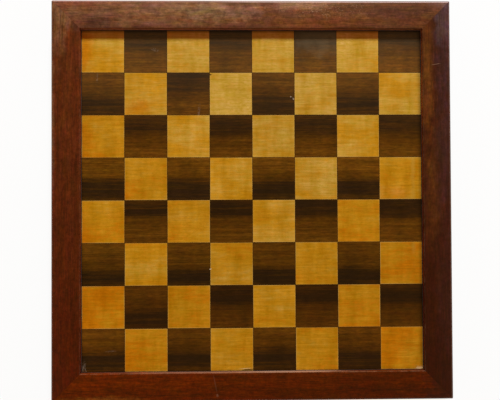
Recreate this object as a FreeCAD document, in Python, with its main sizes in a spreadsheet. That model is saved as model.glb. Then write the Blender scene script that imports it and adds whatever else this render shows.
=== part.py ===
import FreeCAD, Part
import math
import os

import Sketcher

# A framed chess board that lies flat on a table. Sixty-four thick veneer squares are laid on a panel
# of tongued planks, and the panel is sunk in the rebate of a mitred frame, whose rails are crowned
# and fall away towards the outside. Beads pinned into the rebate hold the panel up from below.
# The near side lies towards -Y, and the origin is in the middle of the plane that the board rests on.

# Driving dimensions in millimetres, and three counts
SIZES = {
    # squares of the playing field
    "square_width": 50.0,
    "squares_per_side": 8,
    "veneer_thickness": 1.5,
    "square_ease": 0.15,
    # panel of planks under the squares
    "sight_margin": 0.5,
    "panel_play": 0.5,
    "ground_thickness": 10.0,
    "plank_count": 4,
    "plank_tongue_depth": 4.0,
    "plank_tongue_thickness": 3.0,
    "plank_groove_play": 0.3,
    # frame rails
    "rail_width": 33.8,
    "lip_cover": 8.0,
    "lip_thickness": 6.0,
    "crown_radius": 110.0,
    "outer_drop": 1.6,
    "sight_round": 0.8,
    "outer_round": 2.5,
    "sole_ease": 0.8,
    "corner_round": 1.4,
    # loose tongues across the mitres
    "mitre_tongue_width": 12.0,
    "mitre_tongue_thickness": 3.0,
    "mitre_tongue_cover": 2.6,
    "mitre_tongue_play": 0.2,
    # beads under the edge of the panel
    "bead_width": 9.0,
    "bead_depth": 6.0,
    "bead_round": 2.0,
    # pins through the beads
    "pins_per_bead": 3,
    "pin_diameter": 1.4,
    "pin_length": 19.0,
    "pin_point_length": 2.0,
    "pin_head_diameter": 2.6,
    "pin_head_thickness": 0.5,
    "pin_hole_play": 0.05,
    # baize pads under the corners
    "pad_thickness": 2.0,
    "pad_inset": 4.0,
    # how far a cut runs past the wood
    "overrun": 5.0,
}

SIDES = ("near", "right", "far", "left")
CORNERS = ("near_left", "near_right", "far_right", "far_left")
COLOURS = ("dark", "light")
QUARTER_TURN = 90.0
SAME_PLACE = 1e-6


class Size:
    """A size as it is now, with the formula in the sheet's names that a feature is bound to."""

    def __init__(self, value, formula):
        self.value = value
        self.formula = formula

    def __add__(self, other):
        return Size(self.value + other.value, f"({self.formula} + {other.formula})")

    def __sub__(self, other):
        return Size(self.value - other.value, f"({self.formula} - {other.formula})")

    def __neg__(self):
        return Size(-self.value, f"(-{self.formula})")

    def __mul__(self, number):
        other = as_size(number)
        return Size(self.value * other.value, f"({self.formula} * {other.formula})")

    def __truediv__(self, number):
        other = as_size(number)
        return Size(self.value / other.value, f"({self.formula} / {other.formula})")


def as_size(number):
    """A plain number as a size, or a size as it is."""
    return number if isinstance(number, Size) else Size(number, str(number))


def fill_sheet(sheet):
    """Writes the driving dimensions to the sheet, and gives each as a size under its name."""
    named = {}
    for row, (name, value) in enumerate(SIZES.items(), start=1):
        sheet.set(f"A{row}", name.replace("_", " "))
        sheet.set(f"B{row}", str(value))
        sheet.setAlias(f"B{row}", name)
        named[name] = Size(value, f"{sheet.Name}.{name}")
    return named


doc = FreeCAD.newDocument("chess_board")
size = fill_sheet(doc.addObject("Spreadsheet::Sheet", "Sizes"))
doc.recompute()
sub_parts = []

ZERO = as_size(0)
ROOT_TWO = Size(math.sqrt(2), "sqrt(2)")

# Distances from the middle of the board
FIELD_HALF = size["square_width"] * size["squares_per_side"] / 2
SIGHT_HALF = FIELD_HALF + size["sight_margin"]
REBATE_HALF = SIGHT_HALF + size["lip_cover"]
PANEL_HALF = REBATE_HALF - size["panel_play"]
BEAD_HALF = REBATE_HALF - size["bead_width"]
BOARD_HALF = SIGHT_HALF + size["rail_width"]
CUT_START = SIGHT_HALF - size["overrun"] - size["bead_width"]
CUT_END = BOARD_HALF + size["overrun"]

# The foot of a rail, outside the rebate, and the middle of the joint between two such feet
SOLE_WIDTH = size["rail_width"] - size["lip_cover"]
JOINT_HALF = REBATE_HALF + SOLE_WIDTH / 2

# Levels above the surface that the pads rest on
SOLE_LEVEL = size["pad_thickness"]
GROUND_BOTTOM = SOLE_LEVEL + size["bead_depth"]
GROUND_TOP = GROUND_BOTTOM + size["ground_thickness"]
FIELD_LEVEL = GROUND_TOP + size["veneer_thickness"]
LIP_LEVEL = FIELD_LEVEL + size["lip_thickness"]
OUTER_LEVEL = LIP_LEVEL - size["outer_drop"]
MITRE_TONGUE_TOP = (SOLE_LEVEL + FIELD_LEVEL + size["mitre_tongue_thickness"]) / 2
PIN_LEVEL = SOLE_LEVEL + (size["bead_depth"] + size["bead_round"]) / 2

PIN_SPACING = REBATE_HALF * 2 / size["pins_per_bead"]


def new_body(label, turns=0):
    """The body of a sub-part, turned about the middle of the board by some quarter turns."""
    body = doc.addObject("PartDesign::Body", label)
    body.Label = label
    body.Placement = FreeCAD.Placement(
        FreeCAD.Vector(0, 0, 0), FreeCAD.Rotation(FreeCAD.Vector(0, 0, 1), turns * QUARTER_TURN)
    )
    sub_parts.append(body)
    return body


def origin_item(body, role):
    """The plane or axis with this role in the body's own origin."""
    return next(item for item in body.Origin.OriginFeatures if item.Role == role)


def new_sketch(body, name, role, lift=ZERO, rise=ZERO):
    """A sketch on an origin plane of the body, lifted off the plane and raised along it."""
    sketch = body.newObject("Sketcher::SketchObject", name)
    sketch.AttachmentSupport = [(origin_item(body, role), "")]
    sketch.MapMode = "FlatFace"
    sketch.setExpression("AttachmentOffset.Base.z", lift.formula)
    sketch.setExpression("AttachmentOffset.Base.y", rise.formula)
    return sketch


def add_rule(sketch, kind, *what, amount):
    """A dimension of the sketch, bound to the size that it follows."""
    number = sketch.addConstraint(Sketcher.Constraint(kind, *what, amount.value))
    sketch.setExpression(f"Constraints[{number}]", amount.formula)


def fix_point(sketch, piece, point, place):
    """Fixes a point of the sketch at its two distances from the sketch's origin."""
    add_rule(sketch, "DistanceX", -1, 1, piece, point, amount=place[0])
    add_rule(sketch, "DistanceY", -1, 1, piece, point, amount=place[1])


def as_vector(place):
    """A place in a sketch as a vector."""
    return FreeCAD.Vector(place[0].value, place[1].value, 0)


def arc_between(start, end, radius):
    """The arc from start to end that swells to the right of the way between them."""
    chord = end - start
    inward = FreeCAD.Vector(-chord.y, chord.x, 0).normalize()
    depth = math.sqrt(radius**2 - (chord.Length / 2) ** 2)
    centre = (start + end) / 2 + inward * depth
    angles = [math.atan2(point.y - centre.y, point.x - centre.x) for point in (start, end)]
    return Part.ArcOfCircle(Part.Circle(centre, FreeCAD.Vector(0, 0, 1), radius), *angles)


def draw_outline(sketch, places, arcs=None):
    """A closed outline through the places. Arcs gives the radius of a side by its first place."""
    arcs = arcs or {}
    first = sketch.GeometryCount
    for number, place in enumerate(places):
        start = as_vector(place)
        end = as_vector(places[(number + 1) % len(places)])
        if number in arcs:
            sketch.addGeometry(arc_between(start, end, arcs[number].value))
        else:
            sketch.addGeometry(Part.LineSegment(start, end))
    for number, place in enumerate(places):
        following = first + (number + 1) % len(places)
        sketch.addConstraint(Sketcher.Constraint("Coincident", first + number, 2, following, 1))
        fix_point(sketch, first + number, 1, place)
    for number, radius in arcs.items():
        add_rule(sketch, "Radius", first + number, amount=radius)


def draw_box(sketch, left, bottom, right, top):
    """A rectangle square to the sketch's axes."""
    draw_outline(sketch, [(left, bottom), (right, bottom), (right, top), (left, top)])


def draw_circle(sketch, place, diameter):
    """A circle about a place."""
    circle = Part.Circle(as_vector(place), FreeCAD.Vector(0, 0, 1), diameter.value / 2)
    piece = sketch.addGeometry(circle)
    fix_point(sketch, piece, 3, place)
    add_rule(sketch, "Diameter", piece, amount=diameter)


def pad(body, sketch, length, side_type="One side"):
    """Adds the sketch's outline, drawn out by a length."""
    feature = body.newObject("PartDesign::Pad", "Pad")
    feature.Profile = sketch
    feature.SideType = side_type
    feature.setExpression("Length", length.formula)
    body.Tip = feature
    doc.recompute()
    return feature


def pocket(body, sketch, depth=None, reverse=False):
    """Cuts the sketch's outline out of the body, right through where no depth is given."""
    before = body.Tip.Shape.Volume
    feature = body.newObject("PartDesign::Pocket", "Pocket")
    feature.Profile = sketch
    feature.Reversed = reverse
    if depth is None:
        feature.Type = "ThroughAll"
        feature.SideType = "Symmetric"
    else:
        feature.setExpression("Length", depth.formula)
    body.Tip = feature
    doc.recompute()
    if not feature.Shape.Volume < before - SAME_PLACE:
        raise RuntimeError(f"a pocket of {body.Label} cuts nothing")
    return feature


def mirror(body, features):
    """Repeats features at the other end of a body that is symmetric about its YZ plane."""
    feature = body.newObject("PartDesign::Mirrored", "Mirrored")
    feature.Originals = features
    feature.MirrorPlane = (origin_item(body, "YZ_Plane"), [""])
    body.Tip = feature
    doc.recompute()
    return feature


def repeat(body, spacing, count):
    """Repeats the whole body along X."""
    feature = body.newObject("PartDesign::LinearPattern", "LinearPattern")
    feature.TransformMode = "Whole shape"
    feature.Direction = (origin_item(body, "X_Axis"), [""])
    feature.Mode = "Spacing"
    feature.setExpression("Offset", spacing.formula)
    feature.Occurrences = count
    body.Tip = feature
    doc.recompute()
    return feature


def ease_edges(body, kind, amount, y=None, z=None):
    """A fillet or chamfer on every edge that lies all along at this y, at this z, or at both."""
    base = body.Tip
    wanted = [(axis, place.value) for axis, place in (("y", y), ("z", z)) if place is not None]
    edges = []
    for number, edge in enumerate(base.Shape.Edges, start=1):
        ends = [vertex.Point for vertex in edge.Vertexes]
        if all(abs(getattr(end, axis) - place) < SAME_PLACE for end in ends for axis, place in wanted):
            edges.append(f"Edge{number}")
    feature = body.newObject(f"PartDesign::{kind}", kind)
    feature.Base = (base, edges)
    feature.setExpression("Radius" if kind == "Fillet" else "Size", amount.formula)
    body.Tip = feature
    doc.recompute()
    return feature


def cut_mitre(body):
    """Saws the left end of a piece along the diagonal of the board."""
    sketch = new_sketch(body, "MitreCut", "XY_Plane")
    draw_outline(sketch, [(-CUT_START, -CUT_START), (-CUT_END, -CUT_END), (-CUT_END, -CUT_START)])
    return pocket(body, sketch)


def cut_rounded_mitre(body):
    """Saws the left end of a rail along the diagonal, and rounds the outer corner beyond it."""
    centre = BOARD_HALF - size["corner_round"]
    corner = centre + size["corner_round"] / ROOT_TWO
    sketch = new_sketch(body, "MitreCut", "XY_Plane")
    places = [
        (-CUT_START, -CUT_START),
        (-corner, -corner),
        (-centre, -BOARD_HALF),
        (-centre, -CUT_END),
        (-CUT_END, -CUT_END),
        (-CUT_END, -CUT_START),
    ]
    draw_outline(sketch, places, arcs={1: size["corner_round"]})
    return pocket(body, sketch)


def draw_mitre_tongue(sketch, end_play):
    """The plan of a loose tongue, laid along the near left mitre in the middle of the rails' feet."""
    reach = (SOLE_WIDTH / 2 - size["mitre_tongue_cover"]) * ROOT_TWO
    half_width = size["mitre_tongue_width"] / 2 + end_play
    half_length = reach - size["mitre_tongue_width"] / 2 + end_play
    along = half_length / ROOT_TWO
    across = half_width / ROOT_TWO
    places = [
        (-JOINT_HALF - along + across, -JOINT_HALF - along - across),
        (-JOINT_HALF + along + across, -JOINT_HALF + along - across),
        (-JOINT_HALF + along - across, -JOINT_HALF + along + across),
        (-JOINT_HALF - along - across, -JOINT_HALF - along + across),
    ]
    draw_outline(sketch, places)


def pin_places():
    """Distances along a side of its pins, with half a space beyond the first and the last."""
    count = SIZES["pins_per_bead"]
    return [PIN_SPACING * (number - (count - 1) / 2) for number in range(count)]


def cut_pin_holes(body, depth=None, reverse=False):
    """Bores the pins' holes from the wall of the rebate."""
    sketch = new_sketch(body, "PinHoles", "XZ_Plane", lift=REBATE_HALF)
    for along in pin_places():
        draw_circle(sketch, (along, PIN_LEVEL), size["pin_diameter"] + size["pin_hole_play"] * 2)
    return pocket(body, sketch, depth, reverse)


def make_frame_rail(side, turns):
    """A rail with its lip over the squares, its rebate for the panel, and slotted mitres."""
    rail = new_body(f"frame_rail_{side}", turns)
    section = new_sketch(rail, "Section", "YZ_Plane")
    places = [
        (-BOARD_HALF, SOLE_LEVEL),
        (-REBATE_HALF, SOLE_LEVEL),
        (-REBATE_HALF, FIELD_LEVEL),
        (-SIGHT_HALF, FIELD_LEVEL),
        (-SIGHT_HALF, LIP_LEVEL),
        (-BOARD_HALF, OUTER_LEVEL),
    ]
    draw_outline(section, places, arcs={4: size["crown_radius"]})
    pad(rail, section, BOARD_HALF * 2, "Symmetric")
    ease_edges(rail, "Fillet", size["sight_round"], y=-SIGHT_HALF, z=LIP_LEVEL)
    ease_edges(rail, "Fillet", size["outer_round"], y=-BOARD_HALF, z=OUTER_LEVEL)
    ease_edges(rail, "Chamfer", size["sole_ease"], y=-BOARD_HALF, z=SOLE_LEVEL)
    mitre = cut_rounded_mitre(rail)
    slot_plan = new_sketch(rail, "TongueSlot", "XY_Plane", lift=MITRE_TONGUE_TOP)
    draw_mitre_tongue(slot_plan, size["mitre_tongue_play"])
    slot = pocket(rail, slot_plan, size["mitre_tongue_thickness"])
    mirror(rail, [mitre, slot])
    cut_pin_holes(rail, size["pin_length"] - size["bead_width"] + size["pin_hole_play"], reverse=True)


def make_mitre_tongue(corner, turns):
    """A loose tongue, glued into the slots of two rails."""
    tongue = new_body(f"mitre_tongue_{corner}", turns)
    level = MITRE_TONGUE_TOP - size["mitre_tongue_thickness"]
    plan = new_sketch(tongue, "Plan", "XY_Plane", lift=level)
    draw_mitre_tongue(plan, ZERO)
    pad(tongue, plan, size["mitre_tongue_thickness"])


def make_ground_plank(number):
    """A plank of the panel, with a tongue on its far edge and a groove in its near edge."""
    count = SIZES["plank_count"]
    width = PANEL_HALF * 2 / size["plank_count"]
    near = width * number - PANEL_HALF
    far = near + width
    tongue_bottom = (GROUND_BOTTOM + GROUND_TOP - size["plank_tongue_thickness"]) / 2
    tongue_top = tongue_bottom + size["plank_tongue_thickness"]
    groove_depth = size["plank_tongue_depth"] + size["plank_groove_play"]
    places = [(near, GROUND_BOTTOM), (far, GROUND_BOTTOM)]
    if number < count - 1:
        tip = far + size["plank_tongue_depth"]
        places += [(far, tongue_bottom), (tip, tongue_bottom), (tip, tongue_top), (far, tongue_top)]
    places += [(far, GROUND_TOP), (near, GROUND_TOP)]
    if number > 0:
        root = near + groove_depth
        places += [(near, tongue_top), (root, tongue_top), (root, tongue_bottom), (near, tongue_bottom)]
    plank = new_body(f"ground_plank_{number + 1}")
    section = new_sketch(plank, "Section", "YZ_Plane")
    draw_outline(section, places)
    pad(plank, section, PANEL_HALF * 2, "Symmetric")


def make_squares(colour, rank, first_file):
    """The squares of one colour in one rank: every second file, from the first that is given."""
    squares = new_body(f"{colour}_squares_rank_{rank + 1}")
    plan = new_sketch(squares, "Plan", "XY_Plane", lift=GROUND_TOP)
    left = size["square_width"] * first_file - FIELD_HALF
    near = size["square_width"] * rank - FIELD_HALF
    draw_box(plan, left, near, left + size["square_width"], near + size["square_width"])
    pad(squares, plan, size["veneer_thickness"])
    ease_edges(squares, "Chamfer", size["square_ease"], z=FIELD_LEVEL)
    files = range(first_file, SIZES["squares_per_side"], len(COLOURS))
    repeat(squares, size["square_width"] * len(COLOURS), len(files))


def make_edge_banding(side, turns):
    """A strip of veneer round the squares, mitred, that the lip of the rail sits on."""
    banding = new_body(f"edge_banding_{side}", turns)
    plan = new_sketch(banding, "Plan", "XY_Plane", lift=GROUND_TOP)
    places = [
        (-PANEL_HALF, -PANEL_HALF),
        (PANEL_HALF, -PANEL_HALF),
        (FIELD_HALF, -FIELD_HALF),
        (-FIELD_HALF, -FIELD_HALF),
    ]
    draw_outline(plan, places)
    pad(banding, plan, size["veneer_thickness"])


def make_retaining_bead(side, turns):
    """A mitred bead in the rebate, under the edge of the panel."""
    bead = new_body(f"retaining_bead_{side}", turns)
    section = new_sketch(bead, "Section", "YZ_Plane")
    draw_box(section, -REBATE_HALF, SOLE_LEVEL, -BEAD_HALF, GROUND_BOTTOM)
    pad(bead, section, REBATE_HALF * 2, "Symmetric")
    ease_edges(bead, "Fillet", size["bead_round"], y=-BEAD_HALF, z=SOLE_LEVEL)
    mirror(bead, [cut_mitre(bead)])
    cut_pin_holes(bead)


def make_bead_pins():
    """The pins of all four sides, driven level through the beads into the rails."""
    pins = new_body("bead_pins")
    sketch = new_sketch(pins, "HalfSection", "YZ_Plane", lift=pin_places()[0], rise=PIN_LEVEL)
    head_top = size["pin_head_thickness"] - BEAD_HALF
    tip = -BEAD_HALF - size["pin_length"]
    shoulder = tip + size["pin_point_length"]
    places = [
        (tip, ZERO),
        (head_top, ZERO),
        (head_top, size["pin_head_diameter"] / 2),
        (-BEAD_HALF, size["pin_head_diameter"] / 2),
        (-BEAD_HALF, size["pin_diameter"] / 2),
        (shoulder, size["pin_diameter"] / 2),
    ]
    draw_outline(sketch, places)
    turned = pins.newObject("PartDesign::Revolution", "Revolution")
    turned.Profile = sketch
    turned.ReferenceAxis = (sketch, ["H_Axis"])
    pins.Tip = turned
    doc.recompute()
    repeat(pins, PIN_SPACING, SIZES["pins_per_bead"])
    round_board = pins.newObject("PartDesign::PolarPattern", "PolarPattern")
    round_board.TransformMode = "Whole shape"
    round_board.Axis = (origin_item(pins, "Z_Axis"), [""])
    round_board.Occurrences = len(SIDES)
    pins.Tip = round_board


def make_baize_pad(corner, turns):
    """A round pad of baize across the mitre."""
    baize = new_body(f"baize_pad_{corner}", turns)
    plan = new_sketch(baize, "Plan", "XY_Plane")
    draw_circle(plan, (-JOINT_HALF, -JOINT_HALF), SOLE_WIDTH - size["pad_inset"] * 2)
    pad(baize, plan, size["pad_thickness"])


def check_document():
    """Stops where a feature has failed, a sketch is loose or a sub-part isn't a sound solid."""
    for item in doc.Objects:
        if "Invalid" in item.State or "Error" in item.State:
            raise RuntimeError(f"{item.Label} failed: {item.State}")
        if item.isDerivedFrom("Sketcher::SketchObject") and not item.FullyConstrained:
            raise RuntimeError(f"{item.Label} isn't fully constrained")
    for body in sub_parts:
        if body.Shape.isNull() or not body.Shape.isValid() or not body.Shape.Solids:
            raise RuntimeError(f"{body.Label} isn't a valid solid")


for turns, side in enumerate(SIDES):
    make_frame_rail(side, turns)
for turns, corner in enumerate(CORNERS):
    make_mitre_tongue(corner, turns)
for number in range(SIZES["plank_count"]):
    make_ground_plank(number)
for rank in range(SIZES["squares_per_side"]):
    for shade, colour in enumerate(COLOURS):
        make_squares(colour, rank, (rank + shade) % len(COLOURS))
for turns, side in enumerate(SIDES):
    make_edge_banding(side, turns)
    make_retaining_bead(side, turns)
make_bead_pins()
for turns, corner in enumerate(CORNERS):
    make_baize_pad(corner, turns)

doc.recompute()
check_document()
os.makedirs("parts", exist_ok=True)
for body in sub_parts:
    body.Shape.exportStep(f"parts/{body.Label}.step")
    box = body.Shape.BoundBox
    print(
        f"{body.Label}: {len(body.Shape.Solids)} solids, {body.Shape.Volume:.1f} mm3,"
        f" {box.XLength:.2f} x {box.YLength:.2f} x {box.ZLength:.2f} mm"
    )
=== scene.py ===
"""Dresses the packed chess board: a crowned mahogany frame round sixty-four varnished squares.

The packed model comes first, as a fixed frame. Lengths are in metres. X runs along a rank of squares, Y
from the near side to the far side and Z up from the table. The script is laid out as an add-on, and is run
as a script.
"""

import math
import random

import bmesh
import bpy
from bpy.props import FloatProperty, FloatVectorProperty, IntProperty, PointerProperty
from mathutils import Matrix, Vector, noise


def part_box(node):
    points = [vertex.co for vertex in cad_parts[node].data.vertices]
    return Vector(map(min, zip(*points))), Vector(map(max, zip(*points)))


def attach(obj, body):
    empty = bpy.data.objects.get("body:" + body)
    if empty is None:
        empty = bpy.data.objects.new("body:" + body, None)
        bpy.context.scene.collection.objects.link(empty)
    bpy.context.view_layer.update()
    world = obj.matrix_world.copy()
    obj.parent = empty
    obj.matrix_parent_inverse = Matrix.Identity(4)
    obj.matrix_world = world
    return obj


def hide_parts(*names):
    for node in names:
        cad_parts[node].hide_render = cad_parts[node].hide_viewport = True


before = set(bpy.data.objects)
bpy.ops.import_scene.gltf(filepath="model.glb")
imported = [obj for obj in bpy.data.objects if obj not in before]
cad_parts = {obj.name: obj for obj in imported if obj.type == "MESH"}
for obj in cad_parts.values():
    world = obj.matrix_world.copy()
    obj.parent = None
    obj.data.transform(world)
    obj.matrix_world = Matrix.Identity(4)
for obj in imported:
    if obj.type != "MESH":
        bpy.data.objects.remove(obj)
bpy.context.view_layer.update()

bl_info = {
    "name": "Old Chess Board",
    "version": (1, 0, 0),
    "blender": (4, 5, 0),
    "location": "3D View > Sidebar > Chess Board",
    "description": "Frame rails, veneer squares, pads and finishes for a packed chess board",
    "category": "Mesh",
}

BODY = "root"
MM = 0.001

SIDES = ("right", "far", "left", "near")
CORNERS = ("near_left", "near_right", "far_right", "far_left")
RANKS = range(1, 9)
PLANKS = range(1, 5)

BOARD_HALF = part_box("frame_rail_right")[1].x
SOLE_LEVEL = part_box("frame_rail_right")[0].z
FIELD_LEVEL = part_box("light_squares_rank_1")[1].z
VENEER_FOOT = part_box("light_squares_rank_1")[0].z
FIELD_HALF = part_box("light_squares_rank_1")[1].x
SQUARE = FIELD_HALF / 4
# Four planks make up the width of the panel
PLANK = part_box("ground_plank_1")[1].x / 2


def oval(x, y, along, across, *rest):
    """An oval on the board, in millimetres: its middle, length and width, then what else is set."""
    return (x * MM, y * MM, along * MM, across * MM, *rest)


# Soft patches on the rails, by side and kind, each with its strength
WEATHER = {
    ("right", "faded"): [oval(206, 140, 22, 250, 0.4), oval(213, 10, 34, 170, 0.2)],
    # Along the outer part of the right rail: partly purple stain, partly a painted reflection of cool
    # light
    ("right", "plum"): [
        oval(226, 185, 36, 230, 1.0),
        oval(226, 60, 34, 240, 0.6),
        oval(226, -110, 34, 240, 0.25),
    ],
    # Painted highlight: light reflected on the varnish near the far right corner
    ("right", "painted_highlight"): [oval(226, 212, 30, 100, 0.07)],
    ("far", "faded"): [oval(75, 207, 170, 22, 0.35), oval(-20, 212, 70, 16, 0.25)],
    ("far", "plum"): [
        oval(-185, 208, 80, 22, 0.6),
        oval(180, 222, 120, 26, 0.4),
        oval(230, 228, 40, 22, 0.35),
    ],
    # On the far rail: dust, and painted sheen of the varnish, most of it on the rail's outer half
    ("far", "dusty"): [
        oval(-100, 222, 300, 30, 0.4),
        oval(60, 228, 110, 20, 0.7),
        oval(-40, 221, 150, 30, 0.6),
        oval(-95, 207, 200, 14, 0.3),
    ],
    # Painted highlight: light reflected on the varnish near the far right corner
    ("far", "painted_highlight"): [oval(230, 228, 40, 22, 0.12)],
    ("left", "plum"): [oval(-206, 206, 16, 30, 0.5)],
    ("left", "dusty"): [
        oval(-226, 190, 26, 90, 0.2),
        oval(-219, 230, 60, 90, 0.5),
        oval(-233, 90, 8, 260, 0.3),
    ],
    ("near", "faded"): [oval(-180, -234, 160, 17, 1.0)],
    ("near", "plum"): [oval(228, -220, 70, 60, 0.5)],
    ("near", "dark"): [oval(150, -221, 210, 11, 0.5), oval(222, -222, 60, 44, 0.75)],
}
# Where pale glints of light are painted on the far rail's crazed varnish, with their strength
PAINTED_GLINTS = oval(85, 224, 150, 30, 0.8)
# Orange stains on the light squares, each with its strength
ORANGE_STAINS = (
    oval(-198, 172, 34, 74, 0.8),
    oval(-136, 108, 56, 30, 0.7),
    oval(163, 8, 56, 34, 0.6),
    oval(-194, 74, 34, 60, 0.5),
)
# A bleached strip near the right ends of the ranks, and the corner where hands have darkened the varnish
BLEACHED = oval(190, 70, 9, 330, 0.35)
HANDLED = oval(186, -176, 60, 60, 0.14)
# Patches on the dark squares, each with its strength: dust, and towards the far side painted sheen of the
# varnish
SHEEN_AND_DUST_SPOTS = (oval(100, 186, 250, 54, 0.04), oval(78, 196, 110, 76, 0.11), oval(75, -72, 36, 24, 0.05))
# Scratches on the rails, each with its strength and angle
RAIL_SCRATCHES = {
    "right": [oval(216.4, 158.6, 12, 0.7, 0.4, 0.17)],
    # The two on the far rail are painted glints of light
    "far": [oval(15.5, 224.6, 3, 1.2, 0.3), oval(92, 224.6, 4, 1.2, 0.3, 0.1)],
    "near": [
        # The two long strips along the near rail's inner wall: partly wear, partly painted light on that
        # wall
        oval(-20, -200.15, 310, 1.3, 0.3),
        oval(45, -200.15, 130, 1.5, 0.45),
        oval(-42, -226.8, 2.8, 4, 0.22, 0.2),
        oval(-44.5, -213, 1.6, 22, 0.07, 0.2),
    ],
}
# Knocks and scratches that show the pale wood of the squares: the strength, the angle and how ragged
PALE_MARKS = (
    oval(-49.9, -80.9, 3, 1.2, 1.0, 0.1),
    oval(48.7, 119, 1.6, 3, 0.5, 0.2, 0.8),
    oval(45.6, 121.5, 2, 1.4, 0.5, 0.6, 0.9),
    oval(-9, -197.4, 14, 1, 0.5, 0.05, 0.8),
    oval(-198.4, -195.5, 8, 1, 0.26, 1.5, 1.0),
    oval(-195.4, -197.4, 5, 0.9, 0.2, 1.9, 1.0),
    oval(195.5, -198.5, 9, 3, 0.5, 0.1, 1.2),
)
# Faint broken wisps of wear on the squares, set out like the marks
WISPS = (
    oval(-114, 176.8, 9, 3.6, 1.0, -0.35, 1.2),
    oval(-62.6, 104.8, 3, 15, 1.0, -0.12, 1.2),
    oval(-181.9, 144.9, 2.4, 13, 1.0, -0.05, 1.2),
    oval(-166, -176, 13, 1.8, 1.0, 0.05, 0.9),
    oval(-197, -193, 4, 12, 1.0, 0.0, 1.4),
    oval(195, -198, 12, 5, 1.0, 0.0, 1.6),
)
# Old dark bruises on the squares, set out like the marks
BRUISES = (oval(-49.2, 147.6, 3.2, 1.6), oval(-6, -198.7, 15, 1.3, 1.0, 0.06, 0.7))

# How much lighter than the tops of their rails the walls that drop to the squares are painted: painted
# light, most of it on the walls that stand in shade
WALL_PAINTED_LIGHT = {"right": 4.5, "far": 3.0, "left": 2.2, "near": 1.15}
# How far the edges above those walls have been rubbed bare
RUBBED = {"right": 0.1, "far": 0.1, "left": 0.08, "near": 0.12}
# How far the outer edges have been rubbed bare
WORN_OUTSIDE = {"right": 0.25, "far": 0.1, "left": 0.15, "near": 0.2}
# How bold the figure of each rail is
BOLDNESS = {"right": 1.0, "far": 1.1, "left": 1.15, "near": 1.25}
# Dark strips, by rank, cut from paler or darker wood than the rest
STRIP_TONE = {1: 1.2, 2: 0.8, 5: 1.25, 8: 1.05}
# Lengths of leaf between one rank's squares and the next's, so that no two ranks share wood
DARK_LEAF = 1.7
LIGHT_LEAF = 2.3
# Levels across a dark strip: 0 is the heart's nearly black, 1 the palest wood
HEART_BAND = (
    (0.0, 0.24), (0.10, 0.08), (0.22, 0.0), (0.31, 0.06), (0.42, 0.34), (0.54, 0.66), (0.70, 0.80),
    (1.0, 0.92),
)
# How pale each plank of the panel is, from near to far
PLANK_TONES = (0.92, 1.06, 0.84, 1.0)
# Dark squares, by file and rank, laid the other way round from the rest of their rank
TURNED_SQUARES = ((3, 7), (2, 2))
# About how long the pieces of a rail section's long edges are, and how far apart its copies lie
FACET = 1.6 * MM
STATION = 3.6 * MM
# How far from a mitre the copies lie that crowd together there
NEAR_MITRE = [step * MM for step in (0.0, 0.12, 0.3, 0.6, 1.0, 1.4, 2.2, 3.4)]
# Patches to the metre in the noises for the marks of the plane, for the worn places and for the cut felt
PLANE_MARKS = 22.0
WORN_PLACES = 45.0
FRAYS = 900.0
# How far away the noise for the worn places is read, and how far it is raised, so that most are worn
ELSEWHERE = Vector((5.0, 0.0, 0.0))
MOSTLY_WORN = 0.25
# Places nearer than this count as the same
HAIR = 0.01 * MM
# Where nearly all the values of a noise lie
USUAL_NOISE = (0.25, 0.75)
# Each lamp: where it stands, its width, its power in watts and its colour
LAMPS = {
    "window": (Vector((0.10, 0.90, 0.415)).normalized() * 5, 0.72, 390.0, (0.90, 0.97, 1.0)),
    "sky": (Vector((1.2, 0.3, 1.2)), 0.9, 1.0, (0.55, 0.66, 1.0)),
}
ROOM_COLOUR = (1.0, 0.70, 0.40)
ROOM_STRENGTH = 0.38
FLOOR_GREY = 0.9
# How much of what the camera sees of the floor is plain white
FLOOR_GLOW = 0.88


def shade(red, green, blue):
    """A colour as it is read off a colour chart, 0 to 255, turned into Blender's linear one."""
    parts = [value / 255 for value in (red, green, blue)]
    return tuple(p / 12.92 if p <= 0.04045 else ((p + 0.055) / 1.055) ** 2.4 for p in parts)


def length(name, description, default):
    """A length that the user can change."""
    return FloatProperty(name=name, description=description, default=default, min=0.0, unit="LENGTH")


def colour(name, description, *chart):
    """A colour that the user can change, written as red, green and blue from 0 to 255."""
    return FloatVectorProperty(
        name=name, description=description, default=shade(*chart), subtype="COLOR", min=0.0, max=1.0
    )


class RailSizes(bpy.types.PropertyGroup):
    """Sizes of a frame rail."""

    board_half: length("Half width of the board", "From the middle to the outer face", BOARD_HALF)
    rebate_half: length("Half width at the rebate", "From the middle to the rebate's wall", 208.5 * MM)
    sight_half: length("Half width of the opening", "From the middle to the edge of the lip", 200.5 * MM)
    lip_thickness: length("Lip thickness", "Height of the inner edge above the squares", 6 * MM)
    outer_drop: length("Outer drop", "How much lower the outer edge is than the inner one", 1.6 * MM)
    crown_radius: length("Crown radius", "Radius of the rounded top", 110 * MM)
    sight_round: length("Inner round", "Radius of the inner top edge", 0.8 * MM)
    outer_round: length("Outer round", "Radius of the outer top edge", 2.5 * MM)
    sole_ease: length("Sole ease", "Chamfer of the outer bottom edge", 0.8 * MM)
    corner_round: length("Corner round", "Radius of a corner seen from above", 2.2 * MM)
    wear: length("Wear", "How far handling has worn the edges down", 0.18 * MM)
    inner_wear: length("Inner wear", "How far the wear reaches from the inner edge", 1.2 * MM)
    outer_wear: length("Outer wear", "How far the wear reaches from the outer edge", 2 * MM)
    seam: length("Seam", "Depth of the groove along a mitre", 0.05 * MM)
    seam_width: length("Seam width", "How far the groove reaches from a mitre", 0.25 * MM)
    waviness: length("Waviness", "How far the hand-planed top wanders", 0.08 * MM)


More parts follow.
